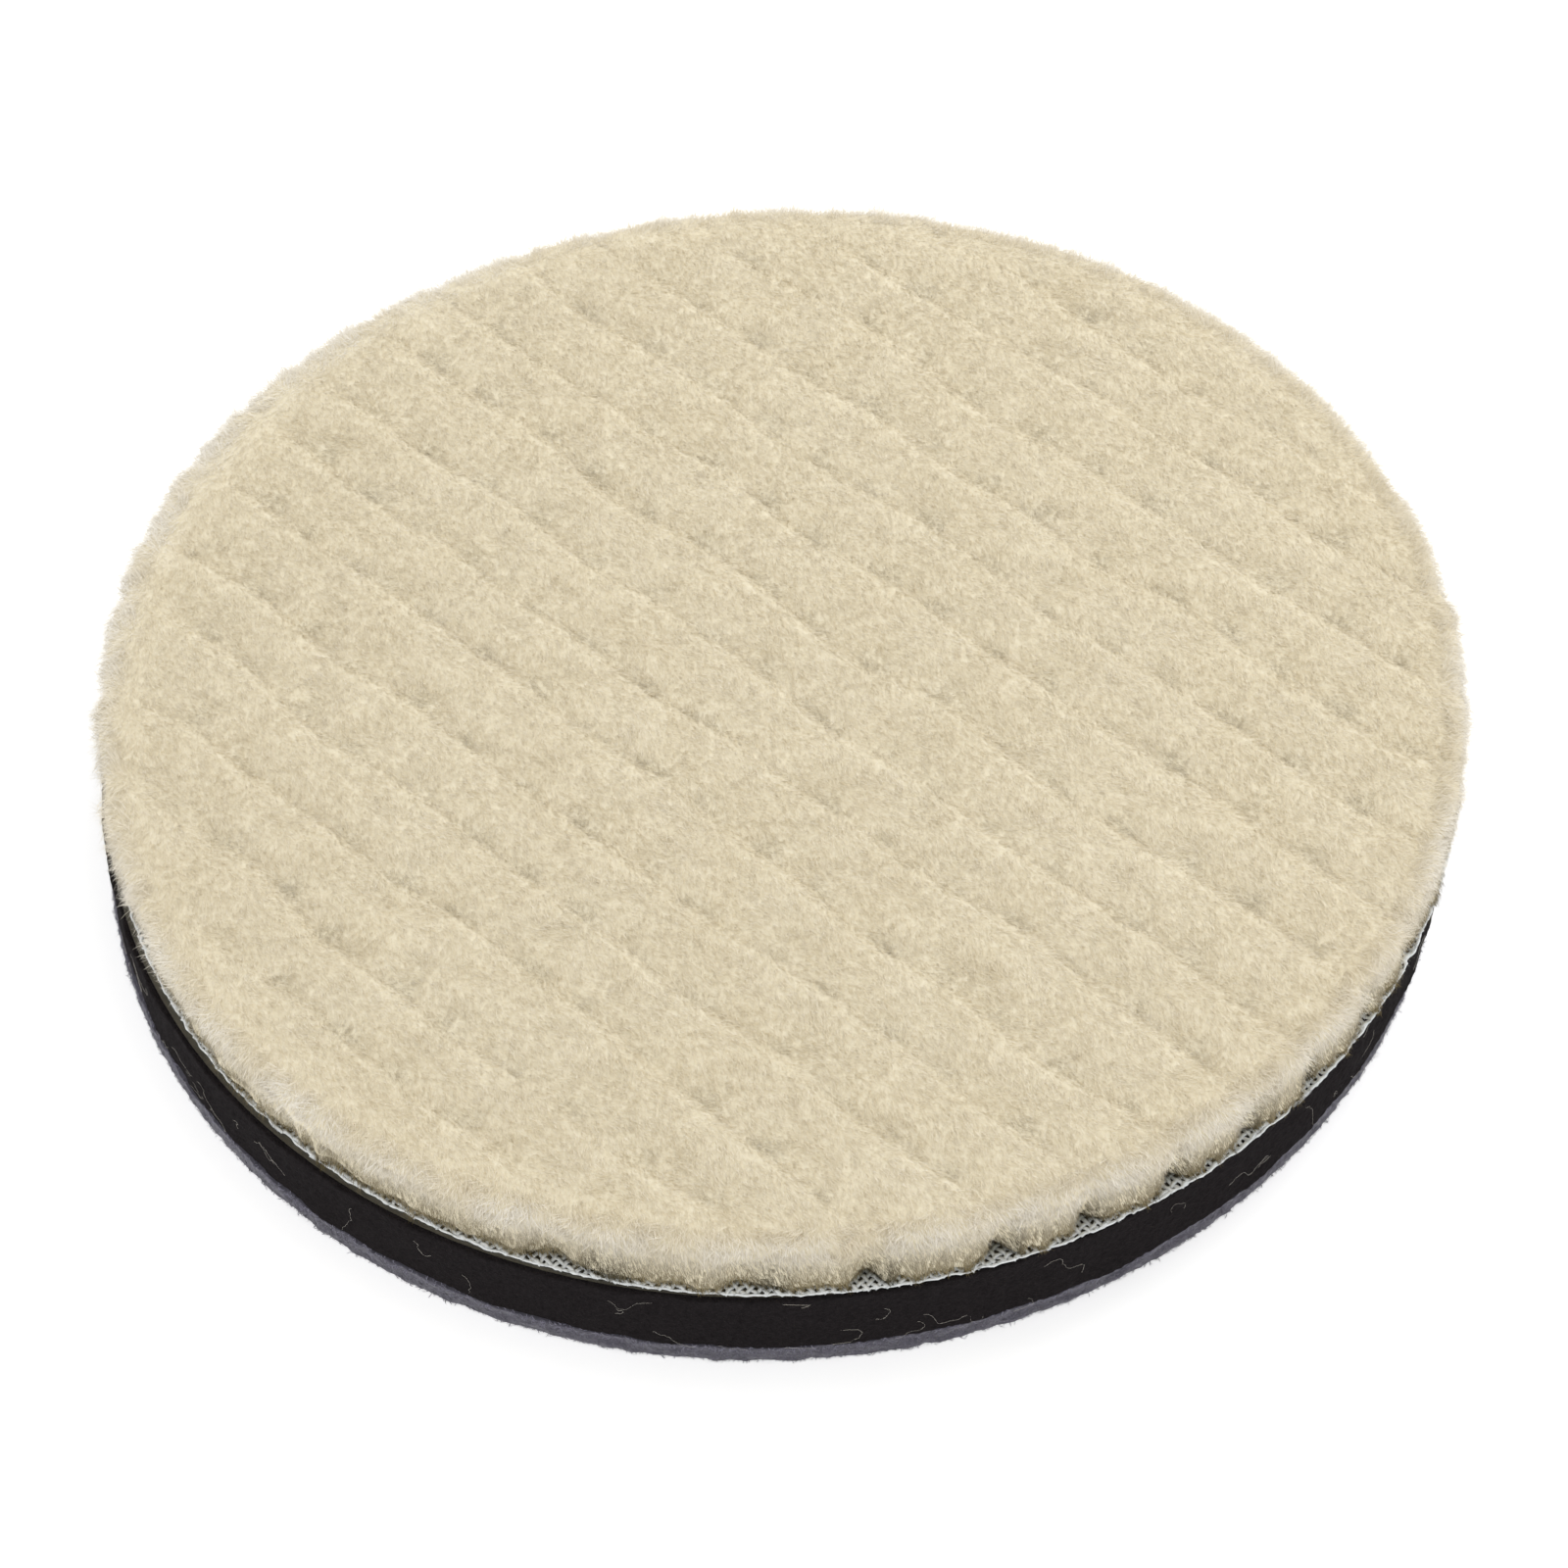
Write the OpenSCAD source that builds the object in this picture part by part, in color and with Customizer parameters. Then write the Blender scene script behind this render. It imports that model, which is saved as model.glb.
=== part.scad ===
// Round wool polishing pad for a rotary or dual-action polisher: a laminate of brushed loop
// fabric, foam and a woven ground cloth, with sheared wool pile on top.
// Millimetres, +Z up through the wool, origin at the centre of the loop face.

/* [Laminate] */
// Diameter of the foam and the ground cloth
pad_d = 150; // [120:1:180]
// Thickness of the brushed loop fabric that grips the backing plate
loop_h = 2.4; // [1.5:0.1:3]
// How far the loop fabric's edge stands in from the foam's edge
loop_inset = 0.3; // [0:0.1:1]
// Thickness of the foam interface
foam_h = 8.6; // [5:0.1:20]
// Thickness of each hot-melt film between the layers
film_h = 0.2; // [0.1:0.05:0.4]
// How far each film's edge stands in from the foam's edge
film_inset = 0.6; // [0.2:0.1:2]
// Thickness of the woven ground cloth
cloth_h = 0.5; // [0.3:0.05:1]

/* [Wool pile] */
// Height of the wool above the ground cloth
pile_h = 8.5; // [6:0.5:12]
// How far the wool bulges out past the ground cloth's edge
pile_bulge = 1.2; // [0:0.1:2]
// How far in from the wool's edge its top starts to round over
rim_round = 2.8; // [1:0.1:4]
// How far the wool's top drops over that rounding
rim_drop = 2.2; // [1:0.1:4]
// How far the foot of the wool stands in from its widest
foot_tuck = 1.4; // [0:0.1:2]
// Number of rows across the pad
row_count = 16; // [10:1:18]
// How far the middle channel lies off the pad's centre
row_shift = 0.9; // [0:0.1:2]
// Angle of the rows, turned from +X
row_angle = -45; // [-90:5:90]
// Depth of the channels between rows
row_depth = 1.2; // [0.8:0.1:3]
// Width of the channels between rows, at the top
row_gap = 6.6; // [3:0.1:6.6]

/* [Tufts] */
// Distance between the cross channels that part a row into tufts
tuft_pitch = 8.7; // [7.5:0.1:12]
// How far the nearest cross channel lies off the pad's centre
tuft_shift = -2.4; // [-4:0.1:4]
// Depth of the cross channels
tuft_depth = 0.8; // [0.5:0.1:2.5]
// Width of the cross channels, at the top
tuft_gap = 5.4; // [3:0.1:7]

/* [Hidden] */
$fn = 96;
pad_r = pad_d / 2;
wool_r = pad_r + pile_bulge;
film_r = pad_r - film_inset;
lower_film_z = loop_h;
foam_z = lower_film_z + film_h;
upper_film_z = foam_z + foam_h;
cloth_z = upper_film_z + film_h;
pile_z = cloth_z + cloth_h;
row_pitch = pad_d / row_count;
tufts_each_way = ceil((wool_r + abs(tuft_shift)) / tuft_pitch);
// Flat facets in each rounded shoulder of a channel, and in the rounding of the rim
row_facets = 4;
tuft_facets = 3;
rim_facets = 6;
// How far a shape that is trimmed runs past the wool
spare = 1;
reach = wool_r + spare;

function row_name(k) = str("pile_row_", k < 9 ? "0" : "", k + 1);
row_names = [for (k = [0:row_count - 1]) row_name(k)];

// Where the channel below row k lies, measured across the rows
function channel_at(k) = row_shift + (k - row_count / 2) * row_pitch;

// Half of a channel's section from its cusp (t = 0) to the flat top (t = 1): a quarter of
// an ellipse, steep at the cusp. side is -1 or 1, and the top of the pile is at pile_h.
function shoulder_point(at, side, gap, depth, t) =
    [at + side * gap / 2 * (1 - cos(90 * t)), pile_h - depth * (1 - sin(90 * t))];
function rising_shoulder(at, gap, depth, facets) =
    [for (i = [0:facets]) shoulder_point(at, 1, gap, depth, i / facets)];
function falling_shoulder(at, gap, depth, facets) =
    [for (i = [facets:-1:0]) shoulder_point(at, -1, gap, depth, i / facets)];

// Section of row k: rounded down into a channel on each side. An end row has one channel
// and reaches out past the wool's edge on its other side.
module row_section(k) {
    low = channel_at(k);
    high = channel_at(k + 1);
    low_side = k == 0
        ? [[-reach, 0], [-reach, pile_h]]
        : concat([[low, 0]], rising_shoulder(low, row_gap, row_depth, row_facets));
    high_side = k == row_count - 1
        ? [[reach, pile_h], [reach, 0]]
        : concat(falling_shoulder(high, row_gap, row_depth, row_facets), [[high, 0]]);
    polygon(concat(low_side, high_side));
}

// The top of the pile through cross channel i: down from one tuft and up onto the next
function cross_channel(i) =
    let (
        at = tuft_shift + i * tuft_pitch,
        down = falling_shoulder(at, tuft_gap, tuft_depth, tuft_facets),
        up = [for (j = [1:tuft_facets]) shoulder_point(at, 1, tuft_gap, tuft_depth, j / tuft_facets)]
    )
        concat(down, up);

// Side view of a whole row: one rounded tuft after another, with a cusp between each two
module tuft_section() {
    tops = [
        for (i = [-tufts_each_way:tufts_each_way])
            for (p = cross_channel(i)) p
    ];
    start = tops[0][0];
    end = tops[len(tops) - 1][0];
    polygon(concat([[start, 0]], tops, [[end, 0]]));
}

// The wool face before it is parted: a disc whose wall leans out from the foot to its widest,
// and whose upper edge is a quarter of an ellipse, in narrow cones
module pile_disc() {
    rim = [
        for (i = [0:rim_facets])
            let (a = 90 * i / rim_facets)
                [wool_r - rim_round * (1 - cos(a)), pile_h - rim_drop * (1 - sin(a))]
    ];
    rotate_extrude()
        polygon(concat([[0, 0], [wool_r - foot_tuck, 0]], rim, [[0, pile_h]]));
}

// Brushed loop fabric on the back, the pad's lowest layer
module loop_fabric() {
    color("#8d8a9c")
        cylinder(r = pad_r - loop_inset, h = loop_h);
}

// Hot-melt film between two layers, with its underside at height z
module adhesive_film(z) {
    color("#5a5548")
        translate([0, 0, z])
            cylinder(r = film_r, h = film_h);
}

module lower_adhesive_film() {
    adhesive_film(lower_film_z);
}

module upper_adhesive_film() {
    adhesive_film(upper_film_z);
}

// Open-cell foam that lets the wool follow a curved panel
module foam_core() {
    color("#262425")
        translate([0, 0, foam_z])
            cylinder(r = pad_r, h = foam_h);
}

// Woven cloth that the pile is bound into
module ground_cloth() {
    color("#d9dddc")
        translate([0, 0, cloth_z])
            cylinder(r = pad_r, h = cloth_h);
}

// One row of wool tufts: where the disc, the row's own section run along it, and the
// tufts' side view run across it all hold wool
module pile_row(k) {
    color("#e0d2b0")
        translate([0, 0, pile_z])
            intersection() {
                pile_disc();
                rotate(row_angle)
                    translate([-reach, 0, 0])
                        rotate([90, 0, 90])
                            linear_extrude(2 * reach)
                                row_section(k);
                rotate(row_angle)
                    translate([0, reach, 0])
                        rotate([90, 0, 0])
                            linear_extrude(2 * reach)
                                tuft_section();
            }
}

loop_fabric();
lower_adhesive_film();
foam_core();
upper_adhesive_film();
ground_cloth();
for (k = [0:row_count - 1])
    pile_row(k);
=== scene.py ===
# %% [markdown]
# # A wool polishing pad, built layer by layer
# A pad like this is a laminate. Brushed loop fabric on the back grips the polisher's plate, a
# disc of black foam lets the face follow a curved panel, and on top lies a woven cloth with
# wool tufts bound into it and sheared level. The frame loaded here already holds every layer at
# its true size, and this file gives each one its looks.

import bmesh
import bpy
import numpy as np
from mathutils import Matrix, Vector


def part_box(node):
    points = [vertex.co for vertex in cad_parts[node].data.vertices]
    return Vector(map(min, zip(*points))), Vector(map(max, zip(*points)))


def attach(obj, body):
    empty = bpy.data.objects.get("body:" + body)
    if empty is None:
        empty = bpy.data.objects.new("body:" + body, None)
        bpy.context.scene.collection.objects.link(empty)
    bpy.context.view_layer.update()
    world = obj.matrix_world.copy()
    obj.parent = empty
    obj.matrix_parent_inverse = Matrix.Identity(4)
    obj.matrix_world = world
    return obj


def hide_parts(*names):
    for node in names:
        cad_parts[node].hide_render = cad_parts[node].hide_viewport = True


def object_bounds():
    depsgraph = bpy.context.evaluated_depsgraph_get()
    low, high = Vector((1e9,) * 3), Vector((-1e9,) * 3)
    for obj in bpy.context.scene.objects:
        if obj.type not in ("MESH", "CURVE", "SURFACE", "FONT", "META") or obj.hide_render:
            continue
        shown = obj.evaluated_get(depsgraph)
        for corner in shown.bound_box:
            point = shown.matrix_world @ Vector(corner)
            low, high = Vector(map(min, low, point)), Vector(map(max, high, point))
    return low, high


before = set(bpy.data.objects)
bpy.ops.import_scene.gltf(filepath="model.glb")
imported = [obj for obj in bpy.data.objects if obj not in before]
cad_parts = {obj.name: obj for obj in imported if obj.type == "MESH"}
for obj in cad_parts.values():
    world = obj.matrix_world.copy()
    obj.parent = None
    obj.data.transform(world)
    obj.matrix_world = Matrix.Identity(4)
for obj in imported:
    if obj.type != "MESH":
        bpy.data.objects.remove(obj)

cad_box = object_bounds()
MM = 0.001
print("the whole pad:", [round(high - low, 4) for low, high in zip(*cad_box)], "m")

# %% [markdown]
# ## Sizes read from the frame
# Every height and radius below comes from a layer's own box, so that the looks can't drift away
# from the design. All lengths are in metres, and MM turns a size in millimetres into one.

# %% Sizes of the layers
def layer(node):
    """(radius, underside, top) of a round layer, from its box in the frame."""
    low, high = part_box(node)
    return (high.x - low.x) / 2, low.z, high.z


loop_r, loop_low, loop_top = layer("loop_fabric")
foam_r, foam_low, foam_top = layer("foam_core")
cloth_r, cloth_low, cloth_top = layer("ground_cloth")
wool_r = cad_box[1].x
wool_top = cad_box[1].z
row_nodes = sorted(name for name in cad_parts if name.startswith("pile_row_"))
print(f"cloth {cloth_r / MM:.1f} mm in radius, wool {(wool_top - cloth_top) / MM:.1f} mm high")

# %% [markdown]
# ## Camera
# A product picture of a flat pad is taken from well above it with a long lens, which keeps the
# circle's perspective gentle. The camera looks from 50 degrees above the floor, seven radii
# away, and leans a few degrees.

# %% Camera
VIEW_ELEVATION = np.radians(50.06)
VIEW_DISTANCE = 7.114 * cloth_r
VIEW_LEAN = np.radians(-3.24)
LENS_MM = 109.85
# Where the cloth's centre stands in the picture, from its middle, as a share of the distance
OFF_CENTRE = (-0.00221, 0.01082)

back = Vector((0, -np.cos(VIEW_ELEVATION), np.sin(VIEW_ELEVATION)))
level_right = Vector((1, 0, 0))
level_up = back.cross(level_right)
right = level_right * np.cos(VIEW_LEAN) + level_up * np.sin(VIEW_LEAN)
up = level_up * np.cos(VIEW_LEAN) - level_right * np.sin(VIEW_LEAN)
aim_back = (back + right * OFF_CENTRE[0] + up * OFF_CENTRE[1]).normalized()
aim_right = up.cross(aim_back).normalized()
aim_up = aim_back.cross(aim_right)

camera_data = bpy.data.cameras.new("camera")
camera_data.lens = LENS_MM
camera_data.clip_end = 20
camera = bpy.data.objects.new("camera", camera_data)
turn = Matrix((aim_right, aim_up, aim_back)).transposed().to_4x4()
camera.matrix_world = Matrix.Translation(Vector((0, 0, cloth_top)) + back * VIEW_DISTANCE) @ turn
bpy.context.scene.collection.objects.link(camera)
bpy.context.scene.camera = camera
print("camera at", [round(x, 3) for x in camera.matrix_world.translation])

# %% [markdown]
# ## Small helpers
# Colours are written as sRGB hex codes, as a colour picker shows them, and one function turns
# them to the linear values that shaders work in. One more adds a shader node with its settings
# and links, and the short ones after it give the few kinds of node that come back in every
# material.

# %% Colour and node helpers
def colour(code):
    """Linear RGBA of an sRGB hex code: each channel c is c / 12.92 near black, and
    ((c + 0.055) / 1.055) to the power 2.4 above that."""
    c = np.array([int(code[i:i + 2], 16) for i in (0, 2, 4)]) / 255
    linear = np.where(c <= 0.04045, c / 12.92, ((c + 0.055) / 1.055) ** 2.4)
    return (*linear, 1.0)


def add_node(tree, kind, inputs=None, **settings):
    """Adds a shader node, sets it, and fills its inputs with values or links to sockets."""
    made = tree.nodes.new(kind)
    for name, value in settings.items():
        setattr(made, name, value)
    for name, value in (inputs or {}).items():
        if isinstance(value, bpy.types.NodeSocket):
            tree.links.new(value, made.inputs[name])
        else:
            made.inputs[name].default_value = value
    return made


def attribute(tree, name):
    """The socket of one of the mesh's own named values."""
    return add_node(tree, "ShaderNodeAttribute", attribute_name=name).outputs["Fac"]


def noise(tree, size, detail=3.0, roughness=0.5):
    """The socket of a noise whose lumps have the given size, in the object's own space."""
    place = add_node(tree, "ShaderNodeTexCoord").outputs["Object"]
    return add_node(tree, "ShaderNodeTexNoise", {
        "Vector": place, "Scale": 1 / size, "Detail": detail, "Roughness": roughness,
    }).outputs["Fac"]


def mixed(tree, share, low, high):
    """The socket of the colour that lies share of the way from low to high."""
    made = add_node(tree, "ShaderNodeMix", {0: share, 6: low, 7: high}, data_type="RGBA")
    return made.outputs[2]


def product(tree, one, other):
    """The socket of two values multiplied."""
    return add_node(tree, "ShaderNodeMath", {0: one, 1: other}, operation="MULTIPLY").outputs[0]


def bumped(tree, height, strength, depth):
    """The socket of a surface direction that is tilted by a height of up to depth."""
    made = add_node(tree, "ShaderNodeBump", {
        "Strength": strength, "Distance": depth, "Height": height})
    return made.outputs[0]


def new_material(name):
    """An empty node material, and the tree to fill."""
    material = bpy.data.materials.new(name)
    material.use_nodes = True
    material.node_tree.nodes.clear()
    return material, material.node_tree


def finish_material(tree, **inputs):
    """Ends the tree in one Principled shader with these inputs, where an underscore in a name
    stands for the space in the socket's name."""
    named = {name.replace("_", " "): value for name, value in inputs.items()}
    shader = add_node(tree, "ShaderNodeBsdfPrincipled", named)
    add_node(tree, "ShaderNodeOutputMaterial", {"Surface": shader.outputs[0]})


# %% [markdown]
# ## Meshes from arrays
# Each piece is worked out as whole numpy arrays of points and faces. Faces with three and four
# corners go into the mesh in one call each, which takes a second where a Python loop over a
# hundred thousand fibres would take minutes.

# %% Mesh helpers
def make_piece(name, points, quads, triangles=None, attributes=None):
    """A mesh object from arrays: points n x 3, quads m x 4, triangles k x 3, and one value a
    point for each named attribute."""
    faces = [quads.reshape(-1, 4)]
    if triangles is not None:
        faces.append(triangles.reshape(-1, 3))
    corners = np.concatenate([f.ravel() for f in faces]).astype(np.int32)
    sizes = np.concatenate([np.full(len(f), f.shape[1]) for f in faces])
    starts = np.concatenate([[0], np.cumsum(sizes)[:-1]]).astype(np.int32)
    mesh = bpy.data.meshes.new(name)
    mesh.vertices.add(len(points))
    mesh.vertices.foreach_set("co", points.astype(np.float32).ravel())
    mesh.loops.add(len(corners))
    mesh.loops.foreach_set("vertex_index", corners)
    mesh.polygons.add(len(sizes))
    mesh.polygons.foreach_set("loop_start", starts)
    mesh.polygons.foreach_set("use_smooth", np.ones(len(sizes), bool))
    mesh.update(calc_edges=True)
    for label, values in (attributes or {}).items():
        layer_of = mesh.attributes.new(label, "FLOAT", "POINT")
        layer_of.data.foreach_set("value", values.astype(np.float32).ravel())
    piece = bpy.data.objects.new(name, mesh)
    bpy.context.scene.collection.objects.link(piece)
    return piece


def grid_quads(rows, columns, first=0):
    """Corner numbers of the quads of a rows x columns grid of points, wound so that they face
    up where the first index runs along +X and the second along +Y."""
    at = first + np.arange(rows * columns).reshape(rows, columns)
    return np.stack([at[:-1, :-1], at[1:, :-1], at[1:, 1:], at[:-1, 1:]], -1).reshape(-1, 4)


def close_seams(piece, gap=1e-6):
    """Merges points that share a place, drops the faces that this leaves with no area, and
    turns all faces outwards."""
    work = bmesh.new()
    work.from_mesh(piece.data)
    bmesh.ops.remove_doubles(work, verts=work.verts, dist=gap)
    bmesh.ops.dissolve_degenerate(work, edges=work.edges, dist=gap)
    bmesh.ops.recalc_face_normals(work, faces=work.faces)
    work.to_mesh(piece.data)
    work.free()
    return piece


def triangles_in(piece):
    """How many triangles the piece's faces split into."""
    return len(piece.data.loops) - 2 * len(piece.data.polygons)


def unit(vectors):
    """The vectors at length 1."""
    return vectors / np.maximum(np.linalg.norm(vectors, axis=-1, keepdims=True), 1e-12)


def smooth_step(t):
    """0 below 0, 1 above 1, and 3 t squared less 2 t cubed between."""
    t = np.clip(t, 0, 1)
    return t * t * (3 - 2 * t)


def ripples(x, y, size, seed, waves=20):
    """A smooth random height at each point: the sum of many cosine waves, each with its own
    direction and phase and a length near size. It averages 0 with a spread of 1."""
    chance = np.random.default_rng(seed)
    turns = chance.uniform(0, 2 * np.pi, waves)
    phases = chance.uniform(0, 2 * np.pi, waves)
    rates = 2 * np.pi / size * chance.uniform(0.7, 1.4, waves)
    total = np.zeros(np.shape(x))
    for direction, phase, rate in zip(turns, phases, rates):
        total += np.cos(rate * (x * np.cos(direction) + y * np.sin(direction)) + phase)
    return total * np.sqrt(2 / waves)


# %% [markdown]
# ## The relief of the wool face
# The pile is woven in straight rows, and shallower channels across them part each row into
# tufts. Nothing in cloth is quite straight, so the channels wander a little, each tuft is sheared
# to a height of its own, and a row leans: it rises slowly from one channel and drops steeply
# into the next. The relief is a plain function of place, so that the solid wool, its fibres and
# the wavy rim can all ask it the same question.

# %% Relief of the wool
ALONG = unit(np.array([1.0, -1.0]))
ACROSS = unit(np.array([1.0, 1.0]))
ROW_PITCH = 2 * cloth_r / len(row_nodes)
ROW_DEPTH = 0.30 * MM
ROW_CREST = 0.84
TUFT_PITCH = 8.7 * MM
TUFT_SHIFT = -2.4 * MM
TUFT_DEPTH = 0.12 * MM
PIT_DEPTH = 0.05 * MM
WANDER = 0.45 * MM
TUFT_SPREAD = 0.015 * MM
LUMP_HEIGHT = 0.01 * MM
# The pile leans as it rises, so the channels at its face lie this far back from its feet
LEAN_ACROSS = 1.0 * MM
LEAN_ALONG = 0.8 * MM
# Near the rim the relief fades out over FADE_WIDTH, from FADE_START in from the wool's edge
FADE_START = 9 * MM
FADE_WIDTH = 7 * MM
FADE_SHARE = 0.65
# Half the width of the gap that opens at the rim where a channel between rows runs out
GAP_REACH = 2.0 * MM
# The tufts' own heights repeat after this many rows and tufts, which is more than there are
TUFT_TABLE = 64


def row_sides(name):
    """Where a row of the frame starts and ends, measured across the rows."""
    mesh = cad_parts[name].data
    co = np.zeros(len(mesh.vertices) * 3, np.float32)
    mesh.vertices.foreach_get("co", co)
    reach = co.reshape(-1, 3)[:, :2] @ ACROSS
    return float(reach.min()), float(reach.max())


row_shift = row_sides(row_nodes[len(row_nodes) // 2])[0]
HALF_ROWS = len(row_nodes) // 2
tuft_heights = np.random.default_rng(3).normal(0, TUFT_SPREAD, (TUFT_TABLE, TUFT_TABLE))


def row_place(x, y):
    """How far across its own row a point lies: 0 at one channel and 1 at the next, and the
    row's number. The channels wander by WANDER, and the two end rows have no second channel,
    so they stay at their crest as far as the rim."""
    across = (x * ACROSS[0] + y * ACROSS[1] - row_shift + LEAN_ACROSS) / ROW_PITCH
    across = across + WANDER / ROW_PITCH * ripples(x, y, 22 * MM, 11)
    first_crest, last_crest = ROW_CREST - HALF_ROWS, ROW_CREST + HALF_ROWS - 1
    across = np.clip(across, first_crest, last_crest)
    return across % 1, np.floor(across).astype(int)


def tuft_place(x, y):
    """The same along the row: 0 at one cross channel, 1 at the next, and the tuft's number."""
    along = (x * ALONG[0] + y * ALONG[1] - TUFT_SHIFT + LEAN_ALONG) / TUFT_PITCH
    along = along + WANDER / TUFT_PITCH * ripples(x, y, 18 * MM, 12)
    return along % 1, np.floor(along).astype(int)


def relief(x, y):
    """Depth of the wool below its highest level. From a channel the wool climbs to its row's
    crest, at share ROW_CREST of the way across, as what is left of the climb to the power 1.5,
    and past the crest it drops into the next channel as a smooth step. Along a row the
    depth is the square of a cosine with its peak at each cross channel, and a pit lies where
    two channels meet. Channels open and close along their way as smooth random fields, each
    tuft has a small height of its own, and near the rim the fibres splay and fill this up."""
    t, row = row_place(x, y)
    s, tuft = tuft_place(x, y)
    climb = np.clip(1 - t / ROW_CREST, 0, 1) ** 1.5
    drop = smooth_step((t - ROW_CREST) / (1 - ROW_CREST))
    channel = (climb + drop) * (0.9 + 0.12 * np.tanh(ripples(x, y, 8 * MM, 14)))
    cross = np.cos(np.pi * s) ** 2 * (0.85 + 0.35 * np.tanh(ripples(x, y, 9 * MM, 15)))
    own = tuft_heights[row % TUFT_TABLE, tuft % TUFT_TABLE] * (1 - channel) * (1 - cross)
    lumps = LUMP_HEIGHT * ripples(x, y, 3.2 * MM, 13)
    full = ROW_DEPTH * channel + TUFT_DEPTH * cross + PIT_DEPTH * channel * cross + own + lumps
    fade = smooth_step((np.hypot(x, y) - (wool_r - FADE_START)) / FADE_WIDTH)
    return full * (1 - FADE_SHARE * fade)


def channel_nearness(x, y):
    """1 in the channel between two rows and 0 in the middle of one, and how far short of its
    steep side a point is: 1 at the start of a row and 0 at its end."""
    t, _ = row_place(x, y)
    to_channel = np.minimum(t, 1 - t) * ROW_PITCH
    return 1 - smooth_step(to_channel / GAP_REACH), 1 - t


print(f"rows {ROW_PITCH / MM:.2f} mm apart, first channel {row_shift / MM:.2f} mm off the centre")

# %% [markdown]
# ## The solid wool of each row
# Under the loose ends the pile is so dense that no light passes, so each row gets one closed
# body just under its fibre tips. It is a height over the round pad: an upper surface and a
# lower one, which meet at the rim on a quarter ellipse above and a steeper one below. The grid
# runs across the row and along it, and its points crowd together towards the rim, where the
# surface turns down. The rim draws in wherever a channel between rows meets it, so that the
# rows end in lobes, like the edge of a cut carpet.

# %% Wool bodies
TOP_NAP = 0.5 * MM
RIM_NAP = 1.0 * MM
body_r = wool_r - RIM_NAP
body_top = wool_top - TOP_NAP
UPPER_ROUND = 1.8 * MM
UPPER_DROP = 1.1 * MM
LOWER_ROUND = 0.8 * MM
mid_z = body_top - UPPER_DROP
RIM_NOTCH = 0.8 * MM
FOOT_NOTCH = 1.8 * MM
# The tufted cloth was glued down a little off the foam's centre
FACE_SHIFT = np.array([1.1, 0.5, 0]) * MM
# Towards one side the pile is combed outwards and reaches further
SPLAY = 1.9 * MM
SPLAY_WAY = np.radians(147)
RAGGED = 0.3 * MM
# All of this fades out over PULL_WIDTH, and asks for the channels CHANNEL_IN from the rim
PULL_WIDTH = 9 * MM
CHANNEL_IN = 3 * MM


def ellipse_drop(rho, width):
    """1 inside the rim's rounding, and down a quarter ellipse to 0 at the rim itself."""
    out = np.clip((rho - (body_r - width)) / width, 0, 1)
    return np.sqrt(1 - out * out)


def draw_in(x, y, foot):
    """Moves points near the rim inwards where a channel runs out: by up to RIM_NOTCH at the
    rim, where a row also reaches less far at its gentle side, and by up to FOOT_NOTCH where
    foot is 1. Each foot is ragged by ripples 2.5 mm long, and round SPLAY_WAY the rim reaches
    out by up to SPLAY, as the cosine to the power 8."""
    rho = np.maximum(np.hypot(x, y), 1e-9)
    inside = (body_r - CHANNEL_IN) / rho
    near, short = channel_nearness(x * inside, y * inside)
    share = smooth_step((rho - (body_r - PULL_WIDTH)) / PULL_WIDTH)
    at_rim = RIM_NOTCH * np.maximum(0.9 * near, 0.6 * short)
    uneven = 0.8 + 0.6 * np.tanh(1.5 * ripples(x, y, 11 * MM, 16))
    ragged = RAGGED * ripples(x / rho * body_r, y / rho * body_r, 2.5 * MM, 17)
    splay = SPLAY * np.clip(
        (x * np.cos(SPLAY_WAY) + y * np.sin(SPLAY_WAY)) / rho, 0, 1) ** 8
    pull = at_rim - splay + ((FOOT_NOTCH - RIM_NOTCH) * near * uneven + ragged) * foot
    return x * (1 - pull * share / rho), y * (1 - pull * share / rho)


def row_grid(low, high, cells_across, cells_along):
    """Plan positions of a row's grid. Across it they run evenly, or by a sine towards the rim
    on an end row; along it they run by a sine from rim to rim, against ALONG, so that the
    faces of the grid look up."""
    step = np.linspace(0, 1, cells_across + 1)
    if high > body_r - ROW_PITCH / 2:
        across = low + (body_r - low) * np.sin(step * np.pi / 2)
    elif low < -body_r + ROW_PITCH / 2:
        across = high - (high + body_r) * np.sin((1 - step) * np.pi / 2)
    else:
        across = low + (high - low) * step
    half = np.sqrt(np.maximum(body_r ** 2 - across ** 2, 0))
    along = half[:, None] * np.sin(np.linspace(np.pi / 2, -np.pi / 2, cells_along + 1))
    across = np.repeat(across[:, None], cells_along + 1, 1)
    x = across * ACROSS[0] + along * ALONG[0]
    y = across * ACROSS[1] + along * ALONG[1]
    return x, y


def wool_surfaces(x, y):
    """The upper and the lower surface of the wool over plan positions, as n x m x 3 arrays."""
    rho = np.minimum(np.hypot(x, y), body_r)
    lift = ellipse_drop(rho, UPPER_ROUND)
    rim_z = mid_z - relief(x, y)
    above = rim_z + UPPER_DROP * lift
    tuck = ellipse_drop(rho, LOWER_ROUND)
    below = rim_z - (rim_z - cloth_top) * tuck
    top_x, top_y = draw_in(x, y, 0)
    low_x, low_y = draw_in(x, y, tuck)
    return np.stack([top_x, top_y, above], -1), np.stack([low_x, low_y, below], -1)


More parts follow.
